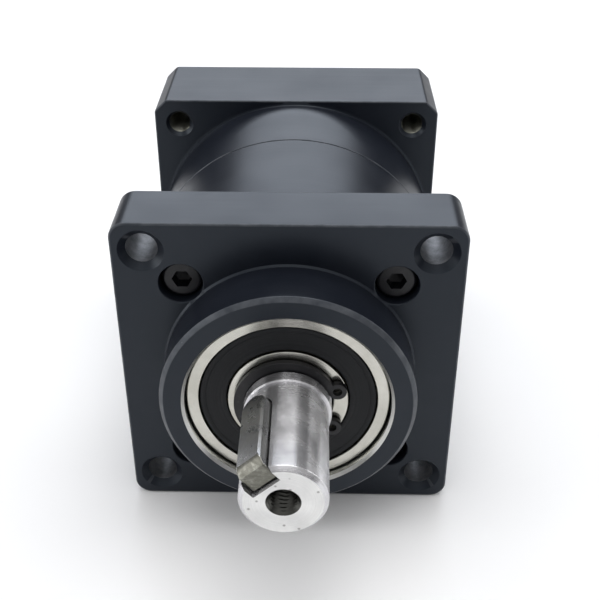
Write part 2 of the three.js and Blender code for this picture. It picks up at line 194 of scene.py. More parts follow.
def circle(radius, facets=HOLE_FACETS):
    turns = [2 * math.pi * i / facets for i in range(facets)]
    return [(radius * math.cos(a), radius * math.sin(a)) for a in turns]


def arc(radius, start, end, steps):
    return [polar(radius, start + (end - start) * i / steps) for i in range(steps + 1)]


def rounded_square(inset):
    """The output flange's outline, its corners rounded, drawn in by an inset."""
    centre, radius = HALF_FLANGE - 3, 3 - inset
    points = []
    for corner in (45, 135, 225, 315):
        x = math.copysign(centre, math.cos(math.radians(corner)))
        z = math.copysign(centre, math.sin(math.radians(corner)))
        points += [(x + dx, z + dz) for dx, dz in arc(radius, corner - 45, corner + 45, 12)]
    return points


def cut_square(inset):
    """The input flange's outline, its corners cut at 45 degrees and eased."""
    side = HALF_FLANGE - inset
    near = 2 * HALF_FLANGE - 2.5 - inset * math.sqrt(2) - side
    corners = [(side, near), (near, side), (-near, side), (-side, near),
               (-side, -near), (-near, -side), (near, -side), (side, -near)]
    return soften([(*c, 0.5) for c in corners])


def square_plate(outline, start, end, edge):
    """A square plate between two stations, with its outer edges rounded over."""
    quarter = [math.radians(a) for a in (0, 30, 60, 90)]
    front = [(outline(edge * (1 - math.sin(a))), start + edge * (1 - math.cos(a))) for a in quarter]
    back = [(outline(edge * (1 - math.cos(a))), end - edge * (1 - math.sin(a))) for a in quarter]
    return lofted(front + back)


def four(offset):
    return [(i * offset, j * offset) for i, j in ((1, 1), (-1, 1), (-1, -1), (1, -1))]


def tooth_outline(teeth, radii, change, offset):
    """Outline of a gear with involute flanks, a tooth turned off +X by an offset in degrees."""
    pitch_r = MODULE * teeth / 2
    base_r = pitch_r * math.cos(PRESSURE)
    involute = lambda a: math.tan(a) - a
    half_at_pitch = (math.pi * MODULE / 2 + change) / (2 * pitch_r)
    points = []
    for tooth in range(teeth):
        middle = offset + 360 * tooth / teeth
        halves = [math.degrees(half_at_pitch + involute(PRESSURE)
                               - involute(math.acos(base_r / max(r, base_r)))) for r in radii]
        points += [polar(r, middle - h) for r, h in zip(radii, halves)]
        points += [polar(r, middle + h) for r, h in reversed(list(zip(radii, halves)))]
    return points


# ---------------------------------------------------------------- shader helpers
class Surface:
    """One procedural material. Positions in it are millimetres from the shaft axis."""

    def __init__(self, name, metallic, specular=0.5, anisotropy=0.0):
        self.material = bpy.data.materials.new(name)
        self.material.use_nodes = True
        self.tree = self.material.node_tree
        self.shader = self.tree.nodes["Principled BSDF"]
        self.set(self.shader, "Metallic", metallic)
        self.set(self.shader, "Specular IOR Level", specular)
        if anisotropy:
            self.set(self.shader, "Anisotropic", anisotropy)
            self.set(self.shader, "Anisotropic Rotation", 0.25)
            tangent = self.node("ShaderNodeTangent", direction_type="RADIAL", axis="Y")
            self.tree.links.new(tangent.outputs[0], self.shader.inputs["Tangent"])
        place = self.node("ShaderNodeTexCoord").outputs["Object"]
        scale = self.node("ShaderNodeVectorMath", {0: place, 3: 1 / MM}, operation="SCALE")
        self.place = scale.outputs[0]
        self.bumps = None

    def set(self, node, socket, value):
        if isinstance(value, bpy.types.NodeSocket):
            self.tree.links.new(value, node.inputs[socket])
        else:
            node.inputs[socket].default_value = value

    def node(self, kind, inputs=None, **settings):
        made = self.tree.nodes.new(kind)
        for key, value in settings.items():
            setattr(made, key, value)
        for socket, value in (inputs or {}).items():
            self.set(made, socket, value)
        return made

    def maths(self, operation, a, b=0.0):
        return self.node("ShaderNodeMath", {0: a, 1: b}, operation=operation).outputs[0]

    def vector(self, operation, a, b):
        return self.node("ShaderNodeVectorMath", {0: a, 1: b}, operation=operation).outputs[0]

    def stretched(self, x, y, z):
        """The place with each direction scaled, so noise on it draws out into lines."""
        return self.vector("MULTIPLY", self.place, (x, y, z))

    def noise(self, vector, scale=1.0, detail=3.0, roughness=0.55):
        return self.node("ShaderNodeTexNoise", {"Vector": vector, "Scale": scale, "Detail": detail,
                                                "Roughness": roughness}).outputs["Fac"]

    def spots(self, scale, distance):
        """0 to 1 mask of scattered round specks."""
        cells = self.node("ShaderNodeTexVoronoi", {"Vector": self.place, "Scale": scale}).outputs["Distance"]
        return self.ramp(cells, distance, distance * 0.5)

    def rings(self, spacing, x=0.0, z=0.0):
        """Fine rings about an axis through (x, z), as turning or face milling leaves."""
        moved = self.vector("ADD", self.place, (-x, 0, -z))
        flat = self.vector("MULTIPLY", moved, (1, 0, 1))
        radius = self.node("ShaderNodeVectorMath", {0: flat}, operation="LENGTH").outputs["Value"]
        return self.node("ShaderNodeTexNoise", {"W": self.maths("DIVIDE", radius, spacing), "Scale": 1.0,
                                                "Detail": 4.0, "Roughness": 0.7},
                         noise_dimensions="1D").outputs["Fac"]

    def ramp(self, value, low, high, to_low=0.0, to_high=1.0):
        return self.node("ShaderNodeMapRange", {"Value": value, "From Min": low, "From Max": high,
                                                "To Min": to_low, "To Max": to_high}).outputs[0]

    def mix(self, factor, first, second):
        made = self.node("ShaderNodeMix", {0: factor, 6: first, 7: second}, data_type="RGBA")
        return made.outputs[2]

    def blend(self, factor, first, second):
        return self.node("ShaderNodeMix", {0: factor, 2: first, 3: second}).outputs[0]

    def bump(self, height, depth, strength=1.0):
        inputs = {"Height": height, "Distance": depth * MM, "Strength": strength}
        if self.bumps:
            inputs["Normal"] = self.bumps
        self.bumps = self.node("ShaderNodeBump", inputs).outputs[0]
        self.set(self.shader, "Normal", self.bumps)

    def finish(self, colour, roughness):
        self.set(self.shader, "Base Color", colour)
        self.set(self.shader, "Roughness", roughness)
        return self.material


def rgb(r, g, b):
    return (r, g, b, 1.0)


# ---------------------------------------------------------------- materials
def anodised(name, worn_and_lit):
    """Black anodised aluminium: fine lines round the axis, a matte grain, bare nicks where edges wear
    through; edge faces also get a painted highlight, the black made lighter.
    """
    m = Surface(name, 0.0, specular=0.36)
    m.set(m.shader, "Specular Tint", rgb(0.80, 0.90, 1.0))
    lines = m.noise(m.stretched(0.05, 4.0, 0.05), detail=4.0, roughness=0.7)
    broad = m.noise(m.place, 0.07, 3.0)
    grain = m.noise(m.place, 6.0, 2.0)
    body = m.mix(m.ramp(broad, 0.3, 0.7), rgb(0.0062, 0.0078, 0.0125), rgb(0.0098, 0.0118, 0.0175))
    body = m.mix(m.ramp(lines, 0.45, 0.75, 0.0, 0.35), body, rgb(0.020, 0.022, 0.030))
    rough = m.ramp(m.maths("ADD", lines, broad), 0.6, 1.4, 0.28, 0.42)
    nick = m.ramp(m.noise(m.place, 0.9, 6.0, 0.75), 0.69 if worn_and_lit else 0.84, 0.72 if worn_and_lit else 0.87)
    metal = m.ramp(m.noise(m.place, 5.0), 0.3, 0.7)
    bare = m.mix(metal, rgb(0.30, 0.31, 0.33), rgb(0.55, 0.56, 0.57))
    m.bump(lines, 0.012, 0.6)
    m.bump(grain, 0.006, 0.5)
    # Edge faces: the whole black is made lighter, patchy with a noise, as a painted highlight along the
    # rounded edges; the bare nicks are real wear.
    if worn_and_lit:
        rub = m.ramp(m.noise(m.place, 0.35), 0.35, 0.7)
        body = m.mix(rub, rgb(0.030, 0.033, 0.040), rgb(0.075, 0.079, 0.088))
    m.set(m.shader, "Metallic", m.ramp(nick, 0.0, 1.0, 0.0, 0.9))
    return m.finish(m.mix(nick, body, bare), m.blend(nick, rough, 0.3))


def milled_aluminium():
    """Bare motor face: sweeping fly-cutter arcs over finer rings, with faint stains."""
    m = Surface("bare_milled_aluminium", 1.0, anisotropy=0.35)
    sweep = m.rings(0.55, x=46.0, z=-38.0)
    cross = m.rings(0.9, x=-60.0, z=-30.0)
    fine = m.rings(0.16)
    broad = m.noise(m.place, 0.09, 4.0)
    stain = m.ramp(m.noise(m.place, 0.35, 5.0, 0.7), 0.60, 0.78)
    marks = m.blend(0.35, sweep, cross)
    colour = m.mix(m.ramp(marks, 0.3, 0.7), rgb(0.70, 0.71, 0.69), rgb(0.90, 0.90, 0.87))
    colour = m.mix(m.maths("MULTIPLY", stain, 0.35), colour, rgb(0.52, 0.51, 0.42))
    m.bump(marks, 0.012, 0.5)
    m.bump(fine, 0.004, 0.3)
    return m.finish(colour, m.ramp(m.maths("ADD", marks, broad), 0.6, 1.4, 0.24, 0.42))


def turned_metal(name, low, high, roughness, ring=0.25, line=2.5, depth=0.006, anisotropy=0.5, specks=0.0):
    """Lathe-turned or ground metal: rings on its faces, lines round its cylinders, faint blotches."""
    m = Surface(name, 1.0, anisotropy=anisotropy)
    rings = m.rings(ring)
    lines = m.noise(m.stretched(0.03, line, 0.03), detail=4.0, roughness=0.7)
    marks = m.blend(0.5, rings, lines)
    broad = m.noise(m.place, 0.18, 4.0, 0.6)
    colour = m.mix(m.ramp(broad, 0.35, 0.7), rgb(*low), rgb(*high))
    colour = m.mix(m.ramp(marks, 0.45, 0.7, 0.0, 0.4), colour, rgb(*(c * 0.72 for c in low)))
    rough = m.ramp(m.maths("ADD", marks, broad), 0.6, 1.4, roughness * 0.75, roughness * 1.3)
    if specks:
        dirt = m.maths("MULTIPLY", m.spots(0.55, 0.16), specks)
        colour = m.mix(dirt, colour, rgb(0.06, 0.055, 0.045))
    m.bump(marks, depth, 0.6)
    return m.finish(colour, rough)


def drawn_steel():
    """The key's long faces: bright drawn steel with lines along it."""
    m = Surface("drawn_key_steel", 1.0)
    lines = m.noise(m.stretched(3.0, 0.08, 3.0), detail=4.0, roughness=0.7)
    dull = m.ramp(m.noise(m.place, 0.4, 5.0, 0.65), 0.4, 0.65)
    colour = m.mix(m.ramp(lines, 0.3, 0.7), rgb(0.44, 0.45, 0.46), rgb(0.58, 0.58, 0.58))
    colour = m.mix(m.maths("MULTIPLY", dull, 0.5), colour, rgb(0.34, 0.335, 0.31))
    m.bump(lines, 0.010, 0.6)
    return m.finish(colour, m.blend(dull, 0.26, 0.38))


def filed_steel():
    """The key's end: sawn and filed, olive with storage oil, scuffed pale in places."""
    m = Surface("filed_key_end", 0.75)
    file_marks = m.noise(m.stretched(0.4, 0.4, 4.0), detail=4.0, roughness=0.7)
    scuff = m.ramp(m.noise(m.place, 0.8, 6.0, 0.72), 0.50, 0.62)
    colour = m.mix(m.ramp(file_marks, 0.3, 0.7), rgb(0.135, 0.135, 0.112), rgb(0.225, 0.22, 0.19))
    colour = m.mix(m.maths("MULTIPLY", scuff, 0.35), colour, rgb(0.44, 0.44, 0.40))
    m.bump(file_marks, 0.03, 0.6)
    m.bump(m.noise(m.place, 2.5, 3.0), 0.02, 0.6)
    return m.finish(colour, m.blend(scuff, 0.46, 0.34))


def black_steel(name, base, roughness):
    """Black oxide or phosphated steel, oily, rubbed lighter in small patches."""
    m = Surface(name, 0.25, specular=0.45)
    rub = m.ramp(m.noise(m.place, 0.8, 5.0, 0.7), 0.58, 0.72)
    grain = m.noise(m.place, 7.0, 3.0)
    colour = m.mix(m.ramp(grain, 0.3, 0.7), rgb(*base), rgb(*(c * 1.9 for c in base)))
    colour = m.mix(m.maths("MULTIPLY", rub, 0.6), colour, rgb(0.055, 0.055, 0.060))
    m.bump(grain, 0.010, 0.6)
    return m.finish(colour, m.blend(rub, roughness, roughness * 0.7))


def rubber():
    """Matte nitrile rubber: fine grain and faint moulding rings."""
    m = Surface("matte_seal_rubber", 0.0, specular=0.3)
    rings = m.rings(0.35)
    grain = m.noise(m.place, 9.0, 2.0)
    dust = m.ramp(m.noise(m.place, 0.6, 5.0, 0.7), 0.55, 0.8, 0.0, 0.35)
    colour = m.mix(m.ramp(rings, 0.35, 0.7), rgb(0.0050, 0.0058, 0.0072), rgb(0.0090, 0.0098, 0.0115))
    colour = m.mix(dust, colour, rgb(0.018, 0.018, 0.019))
    m.bump(rings, 0.010, 0.5)
    m.bump(grain, 0.010, 0.6)
    return m.finish(colour, m.ramp(grain, 0.3, 0.7, 0.52, 0.68))


def plain_grained(name, low, high, metallic, roughness):
    """Bronze, nylon and other pieces inside the case: mottled colour and a cast grain."""
    m = Surface(name, metallic)
    mottle = m.noise(m.place, 0.5, 5.0, 0.6)
    grain = m.noise(m.place, 5.0, 3.0)
    m.bump(grain, 0.015, 0.6)
    rough = m.ramp(grain, 0.3, 0.7, roughness * 0.8, roughness * 1.2)
    return m.finish(m.mix(m.ramp(mottle, 0.3, 0.7), rgb(*low), rgb(*high)), rough)


def foil():
    """Silver printed foil of the label: fine rolled lines and a slight ripple."""
    m = Surface("silver_label_foil", 0.55, anisotropy=0.4)
    lines = m.noise(m.stretched(0.1, 5.0, 0.1), detail=3.0, roughness=0.6)
    ripple = m.noise(m.place, 0.22, 3.0)
    colour = m.mix(m.ramp(lines, 0.3, 0.7), rgb(0.66, 0.68, 0.71), rgb(0.82, 0.84, 0.87))
    m.bump(ripple, 0.05, 0.4)
    m.bump(lines, 0.004, 0.5)
    return m.finish(colour, m.ramp(m.maths("ADD", lines, ripple), 0.6, 1.4, 0.26, 0.40))


def ink():
    """Black printing on the label, thin enough in places for the foil to show."""
    m = Surface("label_ink", 0.1)
    thin = m.ramp(m.noise(m.place, 2.2, 5.0, 0.7), 0.62, 0.75, 0.0, 0.5)
    m.bump(m.noise(m.place, 6.0, 2.0), 0.004, 0.5)
    return m.finish(m.mix(thin, rgb(0.012, 0.012, 0.014), rgb(0.32, 0.33, 0.35)), m.blend(thin, 0.42, 0.32))


ANODISED = anodised("black_anodised", worn_and_lit=False)
# Edge and chamfer faces: real bare nicks, and the black painted lighter as a painted highlight.
WORN_AND_LIT_EDGE = anodised("black_anodised_worn_and_lit", worn_and_lit=True)
MILLED = milled_aluminium()
TURNED = turned_metal("bare_turned_aluminium", (0.74, 0.75, 0.73), (0.90, 0.90, 0.88), 0.20, anisotropy=0.6)
# Bare turned metal given a dark olive-grey colour as painted shade, for the recess wall round the hollow
# shaft, the deep ends of the tapped holes and the input shaft's bore.
SHADED_RECESS = turned_metal("shaded_recess_wall", (0.20, 0.20, 0.17), (0.32, 0.32, 0.275), 0.36, ring=0.4,
                      anisotropy=0.4)
DRILLED = plain_grained("drilled_hole_wall", (0.15, 0.155, 0.165), (0.34, 0.345, 0.355), 0.8, 0.58)
BARE_RIM = turned_metal("bare_bore_rim", (0.50, 0.50, 0.48), (0.66, 0.66, 0.64), 0.30, ring=0.12, depth=0.02,
                        anisotropy=0.0)
GROUND = turned_metal("ground_shaft_steel", (0.58, 0.575, 0.59), (0.76, 0.755, 0.77), 0.25, line=3.0,
                      depth=0.003, anisotropy=1.0)
FACED = turned_metal("faced_shaft_end", (0.68, 0.68, 0.675), (0.84, 0.84, 0.83), 0.36, ring=0.18,
                     depth=0.008, anisotropy=0.35, specks=0.55)
BEARING = turned_metal("polished_bearing_steel", (0.50, 0.49, 0.44), (0.66, 0.65, 0.60), 0.22, ring=0.15,
                       anisotropy=0.5)
KEY = drawn_steel()
KEY_END = filed_steel()
# Near-black metal for the threaded end hole of the output shaft: painted shade inside the hole.
SHADED_THREAD = turned_metal("shaded_thread_hole", (0.055, 0.055, 0.050), (0.13, 0.13, 0.12), 0.30, ring=0.3,
                      anisotropy=0.0)
CIRCLIP = black_steel("phosphated_circlip", (0.007, 0.007, 0.008), 0.36)
SCREW = black_steel("black_oxide_screw", (0.006, 0.006, 0.0075), 0.32)
RUBBER = rubber()
GEAR = turned_metal("hobbed_gear_steel", (0.34, 0.34, 0.35), (0.48, 0.48, 0.49), 0.34, anisotropy=0.2)
BRONZE = plain_grained("sintered_bronze", (0.42, 0.27, 0.11), (0.60, 0.42, 0.20), 0.9, 0.42)
NYLON = plain_grained("glass_filled_nylon", (0.20, 0.165, 0.10), (0.30, 0.25, 0.16), 0.0, 0.50)
FOIL = foil()
INK = ink()


def finished(piece, node, body, materials, choose=None, x=0, z=0, sharp=33):
    """Names a piece, paints its faces, and puts it in place of a CAD node on that node's body."""
    piece.name = f"{node}_fine"
    mesh = piece.data
    mesh.materials.clear()
    for material in materials:
        mesh.materials.append(material)
    for face in mesh.polygons:
        face.material_index = choose(face.center / MM, face.normal) if choose else 0
    mesh.shade_smooth()
    mesh.set_sharp_from_angle(angle=math.radians(sharp))
    weights = piece.modifiers.new("even_normals", "WEIGHTED_NORMAL")
    weights.keep_sharp = True
    piece.location = ORIGIN + Vector((x, 0, z)) * MM
    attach(piece, body)
    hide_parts(node)
    return piece


# ---------------------------------------------------------------- output housing
def output_housing():
    """Square flange, pilot boss and rear spigot, bored for both bearings."""
    flange = square_plate(rounded_square, 0, FLANGE_BACK, 0.35)
    core = turned([
        (0, BOSS_FACE), (21.4, BOSS_FACE, 0.12), (22.15, BOSS_FACE + 0.75, 0.12), (22.15, -0.35),
        (SPIGOT_R, 0), (SPIGOT_R, 16.2, 0.3), (0, 16.2),
    ])
    bore = turned([
        (0, -11), (19.3, -11), (SEAT_BORE_R, -9.5), (SEAT_BORE_R, 2.9), (14, 2.9), (14, 5.9),
        (SEAT_BORE_R, 5.9), (SEAT_BORE_R, 17.4), (0, 17.4),
    ])
    bolt_hole = [(0, -1), (4.95, -1), (2.75, 1.2), (2.75, 10.9), (4.85, 13), (0, 13)]
    screw_hole = [(0, -0.6), (4.55, -0.6), (SINK_R, 0.15), (SINK_R, 5.8), (SCREW_HOLE_R, 5.8),
                  (SCREW_HOLE_R, 13), (0, 13)]
    bolt_holes = [turned(bolt_hole, x, z, HOLE_FACETS) for x, z in four(BOLT_OFFSET)]
    screw_holes = [turned(screw_hole, x, z, HOLE_FACETS) for x, z in four(SCREW_OFFSET)]
    piece = combined(flange, [core], [bore, *bolt_holes, *screw_holes])

    def choose(at, normal):
        radius = math.hypot(at.x, at.z)
        if at.y < -9.4 and radius < 18.5 and abs(normal.y) < 0.95:
            return 2
        if 17 < radius < 17.9 and abs(normal.y) < 0.5:
            return 3
        near_bolt = math.hypot(abs(at.x) - BOLT_OFFSET, abs(at.z) - BOLT_OFFSET) < 2.9
        if near_bolt and 1.1 < at.y < 11 and abs(normal.y) < 0.5:
            return 4
        # Flange edges and the boss chamfer take the edge material, its black painted lighter as a painted
        # highlight.
        edge = max(abs(at.x), abs(at.z)) > HALF_FLANGE - 0.4 or min(abs(at.x), abs(at.z)) > HALF_FLANGE - 3.2
        if edge and 0.15 < abs(normal.y) < 0.97:
            return 1
        return 1 if at.y < -9.2 and 0.3 < abs(normal.y) < 0.97 else 0

    finished(piece, "output_housing", "housing",
             [ANODISED, WORN_AND_LIT_EDGE, BARE_RIM, TURNED, DRILLED], choose)


# ---------------------------------------------------------------- ring gear body
def ring_gear_body():
    """Round sleeve with the internal teeth, turned outside and tapped from both ends."""
    sleeve = turned([
        (22.8, 12.3), (BODY_R, 12.3, 0.2), (BODY_R, JOINT, 0.2), (22.8, JOINT), (22.8, 33.6), (22, 33.6),
        (22, 18.3), (22.8, 18.3),
    ])
    blank = lofted([(circle(22.4, FINE), 22.6), (circle(22.4, FINE), 33.6)])
    spaces = tooth_outline(54, RING_FLANK, 0.12, PLANETS[0] + 180 / 54)
    gap = lofted([(spaces, 22), (spaces, 34)])
    taps = [tapped(x, z, start, end, core=2.2, depth=0.2, pitch=0.7)
            for x, z in four(SCREW_OFFSET) for start, end in ((11, 23), (27, 37))]
    piece = combined(sleeve, [blank], [gap, *taps])

    def choose(at, normal):
        radius = math.hypot(at.x, at.z)
        if radius < BODY_R - 0.3:
            return 2
        # End faces at the joints take the edge material, its black painted lighter as a painted highlight.
        return 1 if abs(normal.y) > 0.15 else 0

    finished(piece, "ring_gear_body", "housing",
             [ANODISED, WORN_AND_LIT_EDGE, GEAR], choose)


# ---------------------------------------------------------------- input housing
def input_housing():
    """Round neck and square motor flange with cut corners, milled bare on the motor face."""
    flange = square_plate(cut_square, NECK_END, MOTOR_FACE, 0.3)
    neck = turned([
        (0, 36.3), (BODY_R, 36.3, 0.2), (BODY_R, 52.8), (29.25, 53.25), (29.8, NECK_END),
        (29.8, 54.5), (0, 54.5),
    ])
    bore = turned([
        (0, 35), (20.5, 35), (20.5, 40), (15.5, 40), (15.5, 44.2), (RECESS_R, 44.2), (RECESS_R, 68.5),
        (20.3, PILOT_FLOOR), (PILOT_R, PILOT_FLOOR), (PILOT_R, 71.1), (25.12, 71.25), (25.12, 73.6),
        (26.5, 75), (0, 75),
    ])
    mouth = [(0, 72.75), (2.1, 72.75), (3.4, 74.0), (3.4, 75), (0, 75)]
    back = [(0, 52), (2.9, 52), (2.9, 53.6), (2.2, 54.3), (0, 54.3)]
    screw_hole = [(0, 35), (SCREW_HOLE_R, 35), (SCREW_HOLE_R, 64.1), (SINK_R, 64.1), (SINK_R, 75), (0, 75)]
    taps = [tapped(x, z, 52, 75) for x, z in four(BOLT_OFFSET)]
    mouths = [turned(mouth, x, z, HOLE_FACETS) for x, z in four(BOLT_OFFSET)]
    backs = [turned(back, x, z, HOLE_FACETS) for x, z in four(BOLT_OFFSET)]
    screw_holes = [turned(screw_hole, x, z, HOLE_FACETS) for x, z in four(SCREW_OFFSET)]
    piece = combined(flange, [neck], [bore, *taps, *mouths, *backs, *screw_holes])

    def choose(at, normal):
        radius = math.hypot(at.x, at.z)
        from_bolt = math.hypot(abs(at.x) - BOLT_OFFSET, abs(at.z) - BOLT_OFFSET)
        # Tapped holes: walls near the motor face are drilled grey, deeper walls take the recess material,
        # darkened as painted shade.
        if from_bolt < 3.45 and at.y > 54.4 and normal.y < 0.99:
            return 4 if at.y > 66 else 5
        if at.y > 73.99 and normal.y > 0.99:
            return 2
        screw_hole = math.hypot(abs(at.x) - SCREW_OFFSET, abs(at.z) - SCREW_OFFSET) < 3.85
        if at.y > 68.4 and 20.1 < radius < 26.4 and not (screw_hole and abs(normal.y) < 0.5):
            return 3
        # The recess wall round the hollow shaft takes the recess material, darkened as painted shade.
        if 44 < at.y < 68.6 and radius < 20.2:
            return 5
        # Outer edges and the neck's joint face take the edge material, its black painted lighter as a
        # painted highlight.
        outer = max(abs(at.x), abs(at.z)) > HALF_FLANGE - 0.4 or abs(at.x) + abs(at.z) > 57
        return 1 if outer and 0.15 < abs(normal.y) < 0.97 or radius < 29.9 and at.y < 36.6 else 0

    finished(piece, "input_housing", "housing",
             [ANODISED, WORN_AND_LIT_EDGE, MILLED, TURNED, DRILLED, SHADED_RECESS], choose)


# ---------------------------------------------------------------- label
def label():
    """Curved foil plate round the underside: a printed double border, and one line across it."""
    length, start, width, middle = 51.5, 14.6, 19.8, -90
    borders = [(1.2, 1.5), (2.0, 2.75)]
    inked = borders + [(length - b, length - a) for a, b in borders]
    inked_across = borders + [(width - b, width - a) for a, b in borders]
    divider = (11.2, 11.45)
    along = sorted({0, length, *(v for pair in inked for v in pair), *(length * i / 40 for i in range(41))})
    across = sorted({0, width, *divider, *(v for pair in inked_across for v in pair)})
    within = lambda v, pairs: any(a - 1e-6 <= v <= b + 1e-6 for a, b in pairs)
    points = []
    for lift in (29.3, 29.55):
        for u in along:
            x, z = polar(lift, middle + math.degrees((u - length / 2) / 29.55))
            points += [(x, start + v, z) for v in across]
    rows, columns = len(along), len(across)
    layer = rows * columns
    faces = []
    for i in range(rows - 1):
        for j in range(columns - 1):
            quad = (i * columns + j, i * columns + j + 1, (i + 1) * columns + j + 1, (i + 1) * columns + j)
            faces += [quad, tuple(layer + q for q in quad[::-1])]
    rim = [i * columns for i in range(rows)] + [(rows - 1) * columns + j for j in range(1, columns)]
    rim += [i * columns + columns - 1 for i in range(rows - 2, -1, -1)] + list(range(columns - 2, 0, -1))
    for a, b in zip(rim, rim[1:] + rim[:1]):
        faces.append((a, b, layer + b, layer + a))
    piece = solid(points, faces)

    def choose(at, normal):
        if math.hypot(at.x, at.z) < 29.5:
            return 0
        u = math.atan2(at.x, -at.z) * 29.55 + length / 2
        v = at.y - start
        for line, (edge, _) in enumerate(borders):
            inside = edge <= u <= length - edge and edge <= v <= width - edge
            if inside and (within(u, inked[line::2]) or within(v, inked_across[line::2])):
                return 1
        return 1 if inside and within(v, [divider]) else 0

    finished(piece, "label_plate", "housing", [FOIL, INK], choose)


# ---------------------------------------------------------------- screws
def case_screw(node, x, z, top, way, length):
    """Cap screw: knurled head with a rounded rim, hexagon socket with a drilled floor, chamfered shank."""
    knurl = [(r * math.cos(a), r * math.sin(a)) for r, a in
             [((3.5, 3.42)[i % 2], 2 * math.pi * i / 96) for i in range(96)]]
    plain = lambda r: circle(r, 96)
    head = [(plain(2.9), 0), (plain(3.12), 0.06), (plain(3.33), 0.2), (plain(3.42), 0.42), (knurl, 0.5),
            (knurl, 3.75), (plain(3.3), 4)]
    shank = [(circle(2), 3.8), (circle(2), 3.7 + length), (circle(1.6), 4 + length)]
    hexagon = circle(1.732, 6)
    socket = [(circle(1.95, 6), -0.4), (hexagon, 0.12), (hexagon, 2.2), (circle(0.2, 6), 2.9)]
    placed = [lofted([(o, top + way * d) for o, d in part]) for part in (head, shank, socket)]
    piece = combined(placed[0], [placed[1]], [placed[2]])
    finished(piece, node, "housing", [SCREW], x=x, z=z, sharp=28)


# ---------------------------------------------------------------- output shaft
def key_shape(half, start, end, levels):
    """A bar at the key's angle, half round towards the motor. Each level is its distance from the
    axis, how far its outline is drawn in, and how far its outer end is set back."""
    turn = Matrix.Rotation(math.radians(KEY_ANGLE), 2)
    rings = []
    for reach, inset, back in levels:
        side, near, corner = half - inset, start + inset + back, 0.45
        plan = [(side - corner + a, near + corner + s) for a, s in arc(corner, -90, 0, 5)]
        plan += [(a, end - half + s) for a, s in arc(side, 0, 180, 24)]
        plan += [(corner - side + a, near + corner + s) for a, s in arc(corner, 180, 270, 5)]
        ring = []
        for across, s in plan:
            x, z = turn @ Vector((reach, across))
            ring.append((x, s, z))
        rings.append(ring)
    return skinned(rings, closed=False)


def output_shaft():
    """Ground stepped shaft with its key seat and threaded end, and the carrier's front plate and posts."""
    core = turned([
        (0, SHAFT_END), (6.3, SHAFT_END, 0.12), (SHAFT_R, SHAFT_END + 0.7, 0.12), (SHAFT_R, SHOULDER),
        (7.25, SHOULDER), (7.5, -11.95),
        (7.5, -10), (6.9, -10), (6.9, -8.4), (7.5, -8.4), (7.5, 6.2), (8.5, 6.2), (8.5, 16.8),
        (18.6, 16.8, 0.3), (18.6, 22.5, 0.3), (0, 22.5),
    ])
    post_places = [polar(POST_ORBIT, a + 60) for a in PLANETS]
    pin_places = [polar(PIN_ORBIT, a) for a in PLANETS]
    posts = [turned([(0, 21), (3, 21), (3, 33.9, 0.2), (0, 33.9)], *at, 48) for at in post_places]
    post_holes = [tapped(*at, 27, 34.2, core=1.75, depth=0.15, pitch=0.5) for at in post_places]
    pin_holes = [turned([(0, 17.3), (2.8, 17.3), (2.8, 24), (0, 24)], *at, 48) for at in pin_places]
    end_hole = tapped(0, 0, -34, SHAFT_END + 14)
    mouth = turned([
        (0, -34), (2.75, -34), (2.75, SHAFT_END + 0.05), (2.1, SHAFT_END + 0.75), (0, SHAFT_END + 0.75),
    ], facets=HOLE_FACETS)
    seat = key_shape(2.8, SHAFT_END - 1, SLOT_END, [(3.7, 0, 0), (9, 0, 0)])
    piece = combined(core, posts, [*post_holes, *pin_holes, seat, end_hole, mouth])

    def choose(at, normal):
        if at.y < SHAFT_END + 0.02 and abs(normal.y) > 0.9:
            return 1
        # The threaded end hole takes the dark thread material, painted shade inside the hole.
        if at.y < SHAFT_END + 14.1 and math.hypot(at.x, at.z) < 2.72:
            return 3
        return 2 if at.y > 16 else 0

    finished(piece, "output_shaft", "output_rotor", [GROUND, FACED, GEAR, SHADED_THREAD], choose)


def output_key():
    """Key with eased edges, its outer corner at the shaft's end filed off at a slant."""
    levels = [(4, 0.2, 0), (4.2, 0, 0), (7.2, 0, 0), (7.95, 0, 1.0), (8.3, 0.35, 1.3)]
    piece = key_shape(2.5, SHAFT_END + 0.7, SLOT_END - 0.3, levels)
    finished(piece, "output_key", "output_rotor", [KEY, KEY_END],
             lambda at, normal: 1 if normal.y < -0.3 else 0)


def circlip():
    """External retaining ring: narrower towards its two holed lugs."""
    start, end = -9.7, -8.7
    tilt, half, steps = -6, 26, 72
    angles = [tilt + half + (360 - 2 * half) * i / steps for i in range(steps + 1)]
    reach = [8.75 + 0.55 * math.sin(math.pi * i / steps) for i in range(steps + 1)]

    def outline(inset):
        outer = [polar(r - inset, a) for r, a in zip(reach, angles)]
        return outer + [polar(7.2 + inset, a) for a in reversed(angles)]

    eased = [(0.1, start), (0, start + 0.1), (0, end - 0.1), (0.1, end)]
    ring = lofted([(outline(inset), s) for inset, s in eased])
    lugs, holes = [], []
    for degrees in (angles[0], angles[-1]):
        x, z = polar(9, degrees)
        lugs.append(turned([(0, start), (1.6, start, 0.1), (1.6, end, 0.1), (0, end)], x, z, 40))
        holes.append(turned([(0, start - 1), (0.8, start - 1), (0.8, end + 1), (0, end + 1)], x, z, 32))
    clearance = turned([(0, start - 1), (7.2, start - 1), (7.2, end + 1), (0, end + 1)])
    piece = combined(ring, lugs, [clearance, *holes])
    finished(piece, "shaft_circlip", "output_rotor", [CIRCLIP])


